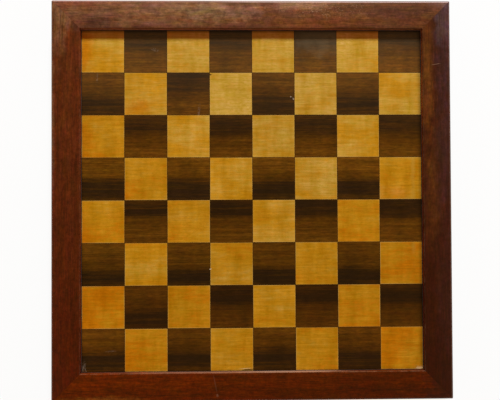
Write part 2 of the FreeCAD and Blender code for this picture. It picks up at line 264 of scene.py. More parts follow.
class SquareSizes(bpy.types.PropertyGroup):
    """Sizes of the veneer squares."""

    joint: length("Joint", "Gap between neighbouring squares", 0.05 * MM)
    rim: length("Rim", "Rounding along the upper edges of a square", 0.08 * MM)
    cup: length("Cup", "How far a square has moved up or down at its edges", 0.02 * MM)
    seed: IntProperty(name="Seed", description="Picks the wood that each square is cut from", default=7)


class PadSizes(bpy.types.PropertyGroup):
    """Sizes of the baize pads."""

    ease: length("Edge", "How far the rim of the felt is rounded", 0.5 * MM)
    fray: length("Fray", "How uneven the cut edge is", 0.12 * MM)


class Colours(bpy.types.PropertyGroup):
    """Colours of the woods, the metal and the felt."""

    rail_left_near: colour("Left rail, near end", "Dark red-brown stain", 71, 20, 4)
    rail_left_far: colour("Left rail, far end", "Brown stain", 88, 39, 15)
    rail_right_near: colour("Right rail, near end", "The darkest stain", 43, 11, 4)
    rail_right_far: colour("Right rail, far end", "Dark brown stain", 62, 25, 11)
    # The far rail's stains are paler and greyer than the others': partly faded stain, partly painted sheen
    # of its varnish
    rail_far_left: colour("Far rail, left end", "Faded brown stain", 108, 62, 40)
    rail_far_right: colour("Far rail, right end", "Brown stain", 94, 54, 32)
    rail_near_left: colour("Near rail, left end", "Red stain", 90, 30, 1)
    rail_near_right: colour("Near rail, right end", "Dark red stain", 72, 22, 1)
    frame_dark: colour("Frame wood, dark", "Dark bands in the mahogany", 46, 15, 3)
    frame_faded: colour("Frame wood, faded", "Where the stain has faded to orange", 126, 70, 22)
    frame_plum: colour("Frame wood, plum", "Where the stain has gone purple", 58, 30, 30)
    # On the far rail this colour also paints the sheen of the varnish
    frame_dusty: colour("Frame wood, dusty", "Where dust has stuck to the varnish", 142, 104, 74)
    frame_worn: colour("Frame wood, worn", "Dry wood along the handled edges", 166, 126, 102)
    # Painted highlight: the light reflected along the far rail's rounded outer edge and near the far right
    # corner
    frame_painted_highlight: colour("Frame wood, bloom", "Grey bloom in the varnish near the far edge", 182, 158, 160)
    varnish: colour("Varnish", "The tint of what the old varnish reflects", 255, 190, 110)
    # Painted shade: the warm tint of the strip of shadow under the far rail
    painted_shadow_tint: colour("Pooled varnish", "The tint of thick varnish along the far rail", 232, 192, 196)
    light_veneer: colour("Light veneer", "Satinwood under old varnish", 180, 125, 20)
    light_pale: colour("Light veneer, pale", "Bleached satinwood", 187, 147, 60)
    light_rim_and_highlight: colour("Light veneer, rims", "Rubbed edges of the light squares", 206, 162, 84)
    # Pale rims: partly rubbed edges, partly a painted highlight along the edges of the light squares
    light_orange: colour("Light veneer, orange", "Where the varnish has darkened", 180, 106, 5)
    light_worn: colour("Light veneer, worn", "Bare wood in its knocks", 214, 184, 140)
    dark_veneer: colour("Dark veneer", "Brown rosewood", 64, 37, 3)
    dark_heart: colour("Dark veneer, heart", "The nearly black band in the rosewood", 23, 12, 4)
    dark_pale: colour("Dark veneer, pale", "The palest lines in the rosewood", 94, 57, 9)
    dark_red: colour("Dark veneer, red", "Redder sheets of the rosewood", 78, 37, 5)
    # Also paints the sheen of the varnish that greys the dark squares at the far side
    dust: colour("Dust", "The film that greys the dark squares at the far side", 148, 130, 102)
    dark_worn: colour("Dark veneer, worn", "Bare wood in its knocks", 190, 168, 150)
    pine: colour("Pine", "Planks under the veneer", 176, 132, 80)
    late_wood: colour("Pine, late wood", "The dark lines between the pine's rings", 128, 78, 36)
    pine_stain: colour("Pine, stains", "Where the planks have gone brown", 104, 74, 46)
    beech: colour("Beech", "Loose tongues in the mitres", 188, 148, 104)
    bead: colour("Bead", "Oiled beech of the beads round the panel", 104, 62, 34)
    wood_dust: colour("Wood dust", "Dust on the bare wood", 112, 92, 68)
    steel: colour("Steel", "Pins in the beads", 120, 116, 110)
    rust: colour("Rust", "Rust on the pins", 104, 58, 30)
    baize: colour("Baize", "Felt pads", 28, 74, 46)
    felt_dust: colour("Felt dust", "Dust in the felt", 110, 112, 92)


class StageSizes(bpy.types.PropertyGroup):
    """Camera and floor."""

    camera_place: FloatVectorProperty(
        name="Camera place", description="Where the lens is", subtype="TRANSLATION", unit="LENGTH",
        default=(-17.25 * MM, -10.72 * MM, 720 * MM),
    )
    camera_turn: FloatVectorProperty(
        name="Camera turn", description="How the camera is turned from looking straight down",
        subtype="EULER", unit="ROTATION", default=(0.0151, -0.0202, -0.0047),
    )
    focal_length: FloatProperty(
        name="Focal length", description="In millimetres, for a sensor 36 mm wide", default=42.91, min=1.0
    )
    floor_size: length("Floor size", "Side of the pale floor", 8.0)


class Nodes:
    """A tree of shader nodes while it is laid out. A value is a number, a colour or a node's output."""

    def __init__(self, tree):
        self.nodes = tree.nodes
        self.links = tree.links

    def feed(self, socket, value):
        """Gives a socket its value, or the node output that drives it."""
        if isinstance(value, bpy.types.NodeSocket):
            self.links.new(value, socket)
        elif socket.type == "RGBA" and len(value) == 3:
            socket.default_value = (*value, 1.0)
        else:
            socket.default_value = value

    def put(self, kind, inputs, **settings):
        """Adds a node with its settings, feeds its inputs by name or by place, and returns its outputs."""
        node = self.nodes.new(f"ShaderNode{kind}")
        for name, setting in settings.items():
            setattr(node, name, setting)
        for key, value in inputs.items():
            self.feed(node.inputs[key], value)
        return node.outputs

    def calculate(self, operation, *values):
        """A Math node."""
        return self.put("Math", dict(enumerate(values)), operation=operation)["Value"]

    def fold(self, operation, values):
        """A Math operation on the first two values, then on its result and the next value, and so on."""
        result, *others = values
        for value in others:
            result = self.calculate(operation, result, value)
        return result

    def add(self, *values):
        """The sum of all the values."""
        return self.fold("ADD", values)

    def times(self, *values):
        """All the values multiplied together."""
        return self.fold("MULTIPLY", values)

    def strongest(self, *masks):
        """The strongest of several masks at each place."""
        return self.fold("MAXIMUM", masks)

    def mix_shaders(self, share, first, second, output):
        """Sends two shaders to an output node, the second by its share."""
        mixed = self.put("MixShader", {"Fac": share, 1: first, 2: second})["Shader"]
        self.feed(self.nodes[output].inputs["Surface"], mixed)

    def seen_directly(self):
        """1 for what the camera sees directly, in a reflection or through glass, and 0 for other light."""
        path = self.put("LightPath", {})
        return self.strongest(*(path[f"Is {kind} Ray"] for kind in ("Camera", "Glossy", "Transmission")))


class Finish(Nodes):
    """A procedural material while its nodes are laid out."""

    def __init__(self, name):
        self.material = bpy.data.materials.new(name)
        self.material.use_nodes = True
        super().__init__(self.material.node_tree)
        self.surface = self.nodes["Principled BSDF"]
        self.place = self.put("TexCoord", {})["Object"]

    def absolute(self, value):
        """A value without its sign."""
        return self.calculate("ABSOLUTE", value)

    def away(self, value, place):
        """How far a value is from a place, on either side."""
        return self.absolute(self.add(value, -place))

    def swing(self, pattern, amount):
        """Noise about 0.5 made a swing about 0."""
        return self.times(self.add(pattern, -0.5), amount)

    def weigh(self, *pairs):
        """The sum of several values, each times its weight."""
        return self.add(*(self.times(value, weight) for value, weight in pairs))

    def parts(self, vector):
        """The X, Y and Z of a vector."""
        outputs = self.put("SeparateXYZ", {"Vector": vector})
        return outputs["X"], outputs["Y"], outputs["Z"]

    def turn(self, vector, angle=0.0, move=(0.0, 0.0, 0.0)):
        """The place turned about Z and moved, so that its X runs along the grain."""
        inputs = {"Vector": vector, "Location": move, "Rotation": (0.0, 0.0, angle)}
        return self.put("Mapping", inputs)["Vector"]

    def noise(self, vector, patches, detail=2.0, roughness=0.5, distortion=0.0, output="Fac"):
        """Cloudy noise from 0 to 1, with so many patches to the metre along X, Y and Z."""
        inputs = {"Detail": detail, "Roughness": roughness, "Distortion": distortion, "Scale": 1.0}
        inputs["Vector"] = self.put("Mapping", {"Vector": vector, "Scale": patches})["Vector"]
        return self.put("TexNoise", inputs)[output]

    def ease(self, value, low, high, at_low=0.0, at_high=1.0, kind="SMOOTHSTEP"):
        """A smooth step: at_low below low, at_high above high."""
        inputs = {"Value": value, "From Min": low, "From Max": high, "To Min": at_low, "To Max": at_high}
        return self.put("MapRange", inputs, interpolation_type=kind)["Result"]

    def mix(self, share, first, second):
        """Two colours mixed, the second by its share."""
        return self.put("Mix", {0: share, 6: first, 7: second}, data_type="RGBA")[2]

    def tint(self, colour_value, factor):
        """A colour made lighter or darker by a factor."""
        return self.put("VectorMath", {0: colour_value, "Scale": factor}, operation="SCALE")["Vector"]

    def multiply(self, vector, factors):
        """A vector or a colour with each of its parts multiplied by its own factor."""
        return self.put("VectorMath", {0: vector, 1: factors}, operation="MULTIPLY")["Vector"]

    def shade_by(self, colour_value, pattern, amount):
        """A colour made lighter and darker by a noise, by so much at the noise's usual extremes."""
        factor = self.ease(pattern, *USUAL_NOISE, 1 - amount, 1 + amount, "LINEAR")
        return self.tint(colour_value, factor)

    def vary(self, colour_value, pattern, spreads):
        """A colour whose red, green and blue follow one noise, each with a spread of its own."""
        low, high = USUAL_NOISE
        slopes = [2 * spread / (high - low) for spread in spreads]
        starts = [1 - spread * (high + low) / (high - low) for spread in spreads]
        factors = self.put("VectorMath", {0: pattern, 1: slopes, 2: starts}, operation="MULTIPLY_ADD")
        return self.multiply(colour_value, factors["Vector"])

    def mottle(self, colour_value, vector, patches, spreads, detail=3.0, roughness=0.6):
        """A colour whose red, green and blue wander apart, each with a spread of its own."""
        pattern = self.noise(vector, patches, detail, roughness, output="Color")
        return self.vary(colour_value, pattern, spreads)

    def ramp(self, value, stops):
        """A value read off along a row of (place, level) stops."""
        node = self.nodes.new("ShaderNodeValToRGB")
        self.feed(node.inputs["Fac"], value)
        elements = node.color_ramp.elements
        while len(elements) < len(stops):
            elements.new(0.5)
        for element, (place, level) in zip(elements, stops):
            element.position = place
            element.color = (level, level, level, 1.0)
        return self.parts(node.outputs["Color"])[0]

    def reach(self, x, y, along, across, angle=0.0):
        """How far out a place is in an oval on the board, 1 at the oval's edge."""
        inputs = {"Vector": self.place, "Location": (x, y, 0.0), "Rotation": (0.0, 0.0, angle)}
        inputs["Scale"] = (along / 2, across / 2, 1.0)
        placed = self.put("Mapping", inputs, vector_type="TEXTURE")["Vector"]
        flat = self.multiply(placed, (1.0, 1.0, 0.0))
        return self.put("VectorMath", {0: flat}, operation="LENGTH")["Value"]

    def mark(self, x, y, along, across, strength=1.0, angle=0.0, ragged=0.5):
        """A knock or a scratch: its strength inside an oval, 0 outside it, with a ragged edge."""
        torn = self.swing(self.noise(self.place, (1500, 1500, 1500), 3.0), 2 * ragged)
        return self.ease(self.add(self.reach(x, y, along, across, angle), torn), 0.6, 1.2, strength, 0.0)

    def cloud(self, x, y, along, across, strength=1.0):
        """A soft, uneven patch that fades out towards the edge of an oval."""
        torn = self.swing(self.noise(self.place, (70, 70, 70), 4.0, 0.6), 1.6)
        return self.ease(self.add(self.reach(x, y, along, across), torn), 0.1, 1.0, strength, 0.0)

    def bump(self, height, strength, distance):
        """Raises and lowers the surface by a height from 0 to 1."""
        inputs = {"Strength": strength, "Distance": distance, "Height": height}
        self.feed(self.surface.inputs["Normal"], self.put("Bump", inputs)["Normal"])

    def coat(self, colour_value, roughness, **uniform):
        """Feeds the surface, whose other settings are the same all over."""
        self.feed(self.surface.inputs["Base Color"], colour_value)
        self.feed(self.surface.inputs["Roughness"], roughness)
        for name, value in uniform.items():
            self.feed(self.surface.inputs[name.replace("_", " ")], value)


def grain_angle(side):
    """How far the grain of a side's pieces is turned from the ranks."""
    return math.pi / 2 if side in ("left", "right") else 0.0


def outward(finish):
    """How far a place is out from the board's middle, measured square to the nearest rail."""
    x, y, _ = finish.parts(finish.place)
    return finish.strongest(finish.absolute(x), finish.absolute(y))


def stain_rail(finish, side):
    """The stain of a rail, from one end to the other, and its patches: weathered ones, and some of painted
    highlight, painted sheen and painted reflection.
    """
    tones = bpy.context.scene.board_colours
    reach = bpy.context.scene.rail_sizes.board_half
    x, y, _ = finish.parts(finish.place)
    along, ends = (y, ("near", "far")) if side in ("left", "right") else (x, ("left", "right"))
    stains = [getattr(tones, f"rail_{side}_{end}") for end in ends]
    wood = finish.mix(finish.ease(along, -reach, reach), *stains)
    for kind in ("faded", "plum", "dusty", "dark", "painted_highlight"):
        for patch in WEATHER.get((side, kind), ()):
            wood = finish.mix(finish.cloud(*patch), wood, getattr(tones, f"frame_{kind}"))
    return wood


def draw_mahogany(finish, wood, side):
    """The figure, streaks and pores of the wood. Returns its colour and how high each place stands."""
    grain = finish.turn(finish.place, grain_angle(side))
    bold = BOLDNESS[side]
    figure = finish.noise(grain, (9, 110, 110), 3.0, 0.6, 0.5)
    ribbon = finish.noise(grain, (28, 340, 340), 3.0, 0.6, 0.3)
    streaks = finish.noise(grain, (62, 760, 760), 3.0, 0.6)
    fibres = finish.noise(grain, (210, 2600, 2600), 2.0, 0.6)
    smudges = finish.noise(grain, (50, 130, 130), 3.0, 0.6)
    speckle = finish.noise(finish.place, (260, 260, 260), 3.0, 0.75)
    pores = finish.ease(finish.noise(grain, (95, 1500, 1500), 1.0), 0.58, 0.70)
    dark = bpy.context.scene.board_colours.frame_dark
    wood = finish.mix(finish.ease(figure, 0.42, 0.72, 0.0, 0.3), wood, dark)
    wood = finish.mottle(wood, grain, (12, 60, 60), (0.08, 0.12, 0.22))
    wood = finish.mottle(wood, grain, (70, 200, 200), (0.08, 0.18, 0.34))
    for pattern, amount in ((smudges, 0.20), (speckle, 0.38), (ribbon, 0.20), (streaks, 0.30)):
        wood = finish.shade_by(wood, pattern, amount * bold)
    wood = finish.shade_by(wood, fibres, 0.20)
    wood = finish.tint(wood, finish.ease(pores, 0.0, 1.0, 1.0, 0.7))
    return wood, finish.weigh((ribbon, 0.5), (streaks, 0.35), (pores, -0.3), (fibres, 0.15))


def age_far_edge(finish, wood, out):
    """Painted glints on the far rail's crazed varnish, and a painted highlight and a line of painted shade
    along its outer edge.
    """
    tones = bpy.context.scene.board_colours
    # Painted glints: pale flecks where the light catches the crazed varnish
    glint_flecks = finish.ease(finish.noise(finish.place, (700, 900, 900), 2.0), 0.60, 0.70)
    wood = finish.mix(finish.times(glint_flecks, finish.cloud(*PAINTED_GLINTS)), wood, tones.frame_worn)
    # Painted highlight along the far rail's rounded outer edge, stronger to the right, then painted shade
    # on the outermost part of that edge
    inward = finish.calculate("SUBTRACT", bpy.context.scene.rail_sizes.board_half, out)
    highlight_line = finish.ease(finish.away(inward, 1.9 * MM), 0.3 * MM, 0.8 * MM, 0.7, 0.0)
    to_right = finish.ease(finish.parts(finish.place)[0], -60 * MM, 0.0, 0.3, 1.0)
    wood = finish.mix(finish.times(highlight_line, to_right), wood, tones.frame_painted_highlight)
    return finish.mix(finish.ease(inward, 0.5 * MM, 1.3 * MM, 0.85, 0.0), wood, tones.frame_plum)


def rub_edges(finish, side, out, above_lip):
    """Where handling has worn through the stain: along the inner and the outer edge of a rail's top."""
    sizes = bpy.context.scene.rail_sizes
    rubbing = finish.noise(finish.place, (90, 90, 90), 4.0, 0.7)
    from_inner = finish.away(out, sizes.sight_half + 0.3 * MM)
    from_outer = finish.away(out, sizes.board_half - 1.6 * MM)
    inner = finish.ease(from_inner, 0.2 * MM, 0.9 * MM, RUBBED[side], 0.0)
    outer = finish.ease(from_outer, 0.3 * MM, 1.0 * MM, WORN_OUTSIDE[side], 0.0)
    upper = finish.ease(above_lip, -3 * MM, -1 * MM)
    return finish.strongest(
        finish.times(inner, upper, finish.ease(rubbing, 0.42, 0.62, 0.1, 1.0)),
        finish.times(outer, finish.ease(rubbing, 0.35, 0.60, 0.4, 1.0)),
    )


def stain_frame_wood(side):
    """Mahogany with its grain along a rail. Its stain is uneven, dusty and worn in places. It also carries
    painted light on the walls above the squares and, on the far rail, painted sheen, glints, highlight and
    shade.
    """
    tones = bpy.context.scene.board_colours
    sizes = bpy.context.scene.rail_sizes
    finish = Finish(f"frame_wood_{side}")
    wood, height = draw_mahogany(finish, stain_rail(finish, side), side)
    x, y, z = finish.parts(finish.place)
    out = outward(finish)
    if side == "far":
        wood = age_far_edge(finish, wood, out)

    from_mitre = finish.absolute(finish.calculate("SUBTRACT", finish.absolute(x), finish.absolute(y)))
    wood = finish.tint(wood, finish.ease(from_mitre, 0.1 * MM, 0.5 * MM, 0.9, 1.0))
    above_lip = finish.add(z, -FIELD_LEVEL - sizes.lip_thickness)
    # Painted light: the wall below the lip is made lighter by its side's factor
    on_wall = finish.times(
        finish.ease(out, sizes.sight_half + 0.1 * MM, sizes.sight_half + 0.5 * MM, 1.0, 0.0),
        finish.ease(above_lip, -1.6 * MM, -0.6 * MM, 1.0, 0.0),
    )
    wood = finish.tint(wood, finish.ease(on_wall, 0.0, 1.0, 1.0, WALL_PAINTED_LIGHT[side]))
    worn = rub_edges(finish, side, out, above_lip)
    wood = finish.mix(worn, wood, tones.frame_worn)
    for scratch in RAIL_SCRATCHES.get(side, ()):
        wood = finish.mix(finish.mark(*scratch), wood, tones.frame_worn)

    patches = finish.noise(finish.place, (16, 16, 16), 3.0, 0.55)
    roughness = finish.add(0.40, finish.swing(patches, 0.2), finish.times(worn, 0.1))
    finish.bump(height, 0.5, 0.14 * MM)
    finish.coat(wood, roughness, Specular_IOR_Level=0.14, Specular_Tint=tones.varnish)
    return finish.material


def read_leaf(finish):
    """Where a place lies on the leaf that its square was cut from, and the square's three tones."""
    leaf = finish.put("UVMap", {}, uv_map="figure")["UV"]
    tones = finish.put("Attribute", {}, attribute_name="tone")["Vector"]
    return leaf, finish.parts(tones)


def square_rim(finish):
    """How far a place on the field is from the edge of its own square."""
    x, y, _ = finish.parts(finish.place)
    to_edge = [finish.calculate("PINGPONG", finish.add(value, FIELD_HALF), SQUARE / 2) for value in (x, y)]
    return finish.calculate("MINIMUM", *to_edge)


def field_shade_and_grime(finish):
    """Painted shade and grime along the foot of the rails, the shade mostly at the right and the far side,
    and dirt in the joints.
    """
    x, y, _ = finish.parts(finish.place)
    clouds = finish.noise(finish.place, (120, 120, 120), 4.0, 0.6)
    # Painted shade and grime, clouded, all round at the foot of the rails
    all_round = finish.times(
        finish.ease(outward(finish), FIELD_HALF - 2.5 * MM, FIELD_HALF),
        finish.ease(clouds, 0.35, 0.7, 0.1, 0.6),
    )
    # Painted shade beside the right and the far wall
    at_right = finish.ease(x, FIELD_HALF - 7 * MM, FIELD_HALF, 0.0, 0.6)
    at_far = finish.ease(y, FIELD_HALF - 5 * MM, FIELD_HALF, 0.0, 0.8)
    in_joints = finish.ease(square_rim(finish), 0.2 * MM, 0.6 * MM, 0.7, 0.0)
    return finish.strongest(at_right, at_far, all_round), in_joints


def field_marks(finish):
    """Pale knocks, faint wisps and dark bruises on the squares."""
    broken = finish.ease(finish.noise(finish.place, (1100, 500, 500), 2.0), 0.42, 0.62)
    pale, wisps, bruises = (
        finish.strongest(*(finish.mark(*spot) for spot in spots)) for spots in (PALE_MARKS, WISPS, BRUISES)
    )
    return pale, finish.times(wisps, broken), bruises


def varnish_light_veneer():
    """Satinwood under yellowed varnish, with its grain along the rank."""
    tones = bpy.context.scene.board_colours
    finish = Finish("light_veneer")
    leaf, (brightness, orange, corner) = read_leaf(finish)
    clouds = finish.noise(leaf, (16, 34, 1), 3.0, 0.5)
    fine_clouds = finish.noise(leaf, (60, 150, 1), 3.0, 0.6)
    speckle = finish.noise(leaf, (220, 420, 1), 3.0, 0.65)
    streaks = finish.noise(leaf, (18, 300, 1), 3.0, 0.6, 0.3)
    lines = finish.noise(leaf, (34, 720, 1), 3.0, 0.6)
    flecks = finish.noise(leaf, (170, 2100, 1), 2.0, 0.55)
    waves = finish.noise(leaf, (70, 16, 1), 3.0, 0.6)
    dashes = finish.ease(finish.noise(leaf, (85, 1300, 1), 1.0), 0.60, 0.72)

    swings = [finish.swing(*pair) for pair in ((clouds, 2.2), (fine_clouds, 1.4), (speckle, 1.3))]
    depth = finish.add(orange, corner, *swings)
    wood = finish.mix(finish.ease(depth, -0.9, 0.2), tones.light_pale, tones.light_veneer)
    wood = finish.mix(finish.ease(depth, 0.1, 1.1), wood, tones.light_orange)
    stains = finish.strongest(*(finish.cloud(*stain) for stain in ORANGE_STAINS))
    wood = finish.mix(stains, wood, tones.light_orange)
    wood = finish.tint(wood, brightness)
    wood = finish.mottle(wood, leaf, (60, 130, 1), (0.02, 0.03, 0.2))
    wood = finish.vary(wood, speckle, (0.15, 0.165, 0.7))
    wood = finish.vary(wood, streaks, (0.115, 0.13, 0.45))
    wood = finish.vary(wood, lines, (0.115, 0.125, 0.3))
    wood = finish.vary(wood, flecks, (0.07, 0.075, 0.2))
    wood = finish.vary(wood, waves, (0.19, 0.22, 0.7))
    wood = finish.tint(wood, finish.ease(dashes, 0.0, 1.0, 1.0, 0.86))

    # Pale rims: partly rubbed, partly a painted highlight along each square's edges
    rubbed = finish.ease(clouds, 0.4, 0.6, 0.6, 0.2)
    rim = finish.times(finish.ease(square_rim(finish), 0.5 * MM, 1.2 * MM, 1.0, 0.0), rubbed)
    wood = finish.mix(rim, wood, tones.light_rim_and_highlight)
    # Painted shade: a warmer, darker tint over the light squares in the strip of shadow under the far rail
    shadow_strip = finish.ease(finish.parts(finish.place)[1], FIELD_HALF - 11 * MM, FIELD_HALF - 8 * MM)
    wood = finish.mix(shadow_strip, wood, finish.multiply(wood, tones.painted_shadow_tint))
    wood = finish.mix(finish.cloud(*BLEACHED), wood, tones.light_pale)
    wood = finish.tint(wood, finish.calculate("SUBTRACT", 1.0, finish.cloud(*HANDLED)))
    return finish, wood, streaks, flecks


def varnish_dark_veneer():
    """Brown rosewood with a nearly black band, cut so that one rank's squares share the same figure."""
    tones = bpy.context.scene.board_colours
    finish = Finish("dark_veneer")
    leaf, (brightness, red, shift) = read_leaf(finish)
    to_far = finish.parts(finish.place)[1]
    wander = finish.swing(finish.noise(leaf, (14, 30, 1), 2.0), 0.22)
    across = finish.add(finish.times(finish.parts(leaf)[1], 1 / SQUARE), wander, shift)
    # Painted sheen: the nearly black heart is lifted towards the far side
    weakest = finish.ease(to_far, -90 * MM, 110 * MM, 0.0, 0.2)
    band = finish.strongest(finish.ramp(across, HEART_BAND), weakest)
    broad_lines = finish.noise(leaf, (7, 150, 1), 2.0, 0.5, 0.15)
    lines = finish.noise(leaf, (7, 330, 1), 4.0, 0.6, 0.1)
    fine_lines = finish.noise(leaf, (26, 800, 1), 3.0, 0.6)
    fibres = finish.noise(leaf, (170, 2600, 1), 2.0, 0.5)
    figure = [finish.swing(pattern, 0.8) for pattern in (broad_lines, lines, fine_lines)]
    level = finish.add(finish.times(band, 1.05), -0.06, *figure)

    wood = finish.mix(finish.ease(level, -0.1, 0.7), tones.dark_heart, tones.dark_veneer)
    wood = finish.mix(finish.ease(level, 0.55, 1.2), wood, tones.dark_pale)
    wood = finish.mix(finish.times(red, finish.ease(level, 0.0, 0.5, 0.3, 1.0)), wood, tones.dark_red)
    wood = finish.tint(wood, brightness)
    wood = finish.mottle(wood, leaf, (60, 150, 1), (0.06, 0.10, 0.3))
    wood = finish.shade_by(wood, finish.noise(leaf, (45, 22, 1), 3.0), 0.30)
    wood = finish.shade_by(wood, finish.noise(leaf, (130, 420, 1), 3.0, 0.65), 0.42)
    # Painted sheen of the varnish, strongest at the far side, with dust in patches
    far_sheen = finish.ease(to_far, FIELD_HALF * 0.3, FIELD_HALF, 0.0, 0.06)
    dust = finish.add(far_sheen, *(finish.cloud(*spot) for spot in SHEEN_AND_DUST_SPOTS))
    wood = finish.shade_by(finish.mix(dust, wood, tones.dust), fibres, 0.18)
    return finish, wood, lines, fine_lines


def finish_field(finish, wood, coarse, fine, worn_colour):
    """Adds painted shade and grime along the rails, dirt in the joints, marks and the varnish to a veneer.
    """
    tones = bpy.context.scene.board_colours
    shade_and_grime, in_joints = field_shade_and_grime(finish)
    pale, wisps, bruises = field_marks(finish)
    # Painted shade and grime darken the squares along the rails
    wood = finish.tint(wood, finish.ease(shade_and_grime, 0.0, 1.0, 1.0, 0.3))
    wood = finish.mix(in_joints, wood, tones.dark_heart)
    wood = finish.mix(finish.times(wisps, 0.12), wood, worn_colour)
    wood = finish.mix(pale, wood, worn_colour)
    wood = finish.mix(finish.times(bruises, 0.9), wood, tones.dark_heart)
    sheen = finish.swing(finish.noise(finish.place, (30, 30, 30), 3.0, 0.6), 0.14)
    roughness = finish.add(0.38, sheen, finish.weigh((pale, 0.3), (shade_and_grime, 0.15)))
    finish.bump(finish.weigh((coarse, 0.35), (fine, 0.25), (pale, -1.5), (bruises, -1.5)), 0.3, 0.1 * MM)
    finish.coat(wood, roughness, Specular_IOR_Level=0.14, Specular_Tint=tones.varnish)
    return finish.material


def finish_pine(name, offset, tone):
    """A pine plank, browned and dusty, with the marks of the plane and dirt in the joints beside it."""
    tones = bpy.context.scene.board_colours
    finish = Finish(name)
    grain = finish.turn(finish.place, 0.0, (offset, offset * 0.37, 0.0))
    rings = finish.noise(grain, (2.6, 75, 30), 3.0, 0.5, 0.6)
    lines = finish.calculate("FRACT", finish.times(rings, 9.0))
    late_wood = finish.times(finish.ease(lines, 0.35, 0.9), finish.ease(lines, 0.92, 1.0, 1.0, 0.0))
    fibres = finish.noise(grain, (70, 1500, 900), 3.0, 0.6)
    stains = finish.noise(finish.place, (13, 13, 13), 4.0, 0.6)
    wood = finish.mix(finish.times(late_wood, 0.55), tones.pine, tones.late_wood)
    wood = finish.shade_by(finish.tint(wood, tone), fibres, 0.12)
    wood = finish.mix(finish.ease(stains, 0.5, 0.75, 0.0, 0.5), wood, tones.pine_stain)
    from_joint = finish.calculate("PINGPONG", finish.parts(finish.place)[1], PLANK / 2)
    wood = finish.tint(wood, finish.ease(from_joint, 0.15 * MM, 0.9 * MM, 0.3, 1.0))
    chatter = finish.calculate("SINE", finish.times(finish.parts(grain)[0], 900.0))
    finish.bump(finish.weigh((late_wood, 0.5), (fibres, 0.5), (chatter, 0.12)), 0.5, 0.2 * MM)
    finish.coat(wood, finish.add(0.72, finish.times(stains, 0.14)), IOR=1.45)
    return finish.material


def finish_bare_wood(name, base, angle):
    """Unvarnished straight-grained wood, handled and dusty."""
    tones = bpy.context.scene.board_colours
    finish = Finish(name)
    grain = finish.turn(finish.place, angle)
    streaks = finish.noise(grain, (26, 520, 520), 4.0, 0.6)
    fibres = finish.noise(grain, (150, 2400, 2400), 2.0, 0.6)
    dust = finish.noise(finish.place, (40, 40, 40), 4.0, 0.6)
    wood = finish.shade_by(finish.shade_by(base, streaks, 0.2), fibres, 0.12)
    wood = finish.mix(finish.ease(dust, 0.5, 0.8, 0.0, 0.3), wood, tones.wood_dust)
    finish.bump(finish.add(streaks, finish.times(fibres, 0.6)), 0.4, 0.12 * MM)
    finish.coat(wood, finish.add(0.62, finish.times(dust, 0.2)), IOR=1.45)
    return finish.material


def finish_steel():
    """Wire pins with a little rust."""
    tones = bpy.context.scene.board_colours
    finish = Finish("pin_steel")
    rust = finish.ease(finish.noise(finish.place, (900, 900, 900), 4.0, 0.65), 0.46, 0.62)
    scratches = finish.noise(finish.place, (700, 5200, 5200), 2.0)
    surface = finish.mix(rust, finish.shade_by(tones.steel, scratches, 0.2), tones.rust)
    finish.bump(finish.weigh((rust, 0.7), (scratches, 0.3)), 0.4, 0.05 * MM)
    finish.coat(surface, finish.add(0.34, finish.times(rust, 0.45)), Metallic=0.85)
    return finish.material


def finish_baize():
    """Green felt, flattened and a little dusty."""
    tones = bpy.context.scene.board_colours
    finish = Finish("baize")
    fluff = finish.noise(finish.place, (1800, 1800, 1800), 4.0, 0.7)
    hairs = finish.noise(finish.turn(finish.place, 0.6), (500, 4200, 2400), 2.0, 0.6, 1.2)
    dust = finish.noise(finish.place, (160, 160, 160), 3.0)
    felt = finish.shade_by(finish.shade_by(tones.baize, fluff, 0.35), hairs, 0.22)
    felt = finish.mix(finish.ease(dust, 0.5, 0.75, 0.0, 0.35), felt, tones.felt_dust)
    finish.bump(finish.add(fluff, hairs), 0.8, 0.2 * MM)
    finish.coat(felt, finish.add(0.88, finish.times(fluff, 0.1)), Sheen_Weight=0.4, Sheen_Roughness=0.5)
    return finish.material


def pave(piece, material):
    """Gives a piece or a CAD node one material."""
    piece.data.materials.clear()
    piece.data.materials.append(material)


def add_object(name, data):
    """A new object in the scene."""
    thing = bpy.data.objects.new(name, data)
    bpy.context.scene.collection.objects.link(thing)
    return thing


def add_mesh(name, shape, material):
    """Turns a finished shape into an object with one material."""
    mesh = bpy.data.meshes.new(name)
    shape.to_mesh(mesh)
    shape.free()
    thing = add_object(name, mesh)
    pave(thing, material)
    return thing


def place_piece(name, shape, material, nodes):
    """Turns a finished shape into a piece that rides on the board and stands for CAD nodes."""
    bmesh.ops.recalc_face_normals(shape, faces=shape.faces)
    piece = add_mesh(name, shape, material)
    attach(piece, BODY)
    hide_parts(*nodes)
    return piece


def round_off(shape, geom, offset, kind, segments):
    """Rounds corners or edges off with arcs."""
    arc = {"offset": offset, "affect": kind, "segments": segments, "profile": 0.5, "material": -1}
    bmesh.ops.bevel(shape, geom=geom, **arc)


def smooth(piece, angle):
    """Shades a piece smoothly, and keeps the edges sharper than an angle."""
    piece.data.polygons.foreach_set("use_smooth", [True] * len(piece.data.polygons))
    piece.data.set_sharp_from_angle(angle=angle)


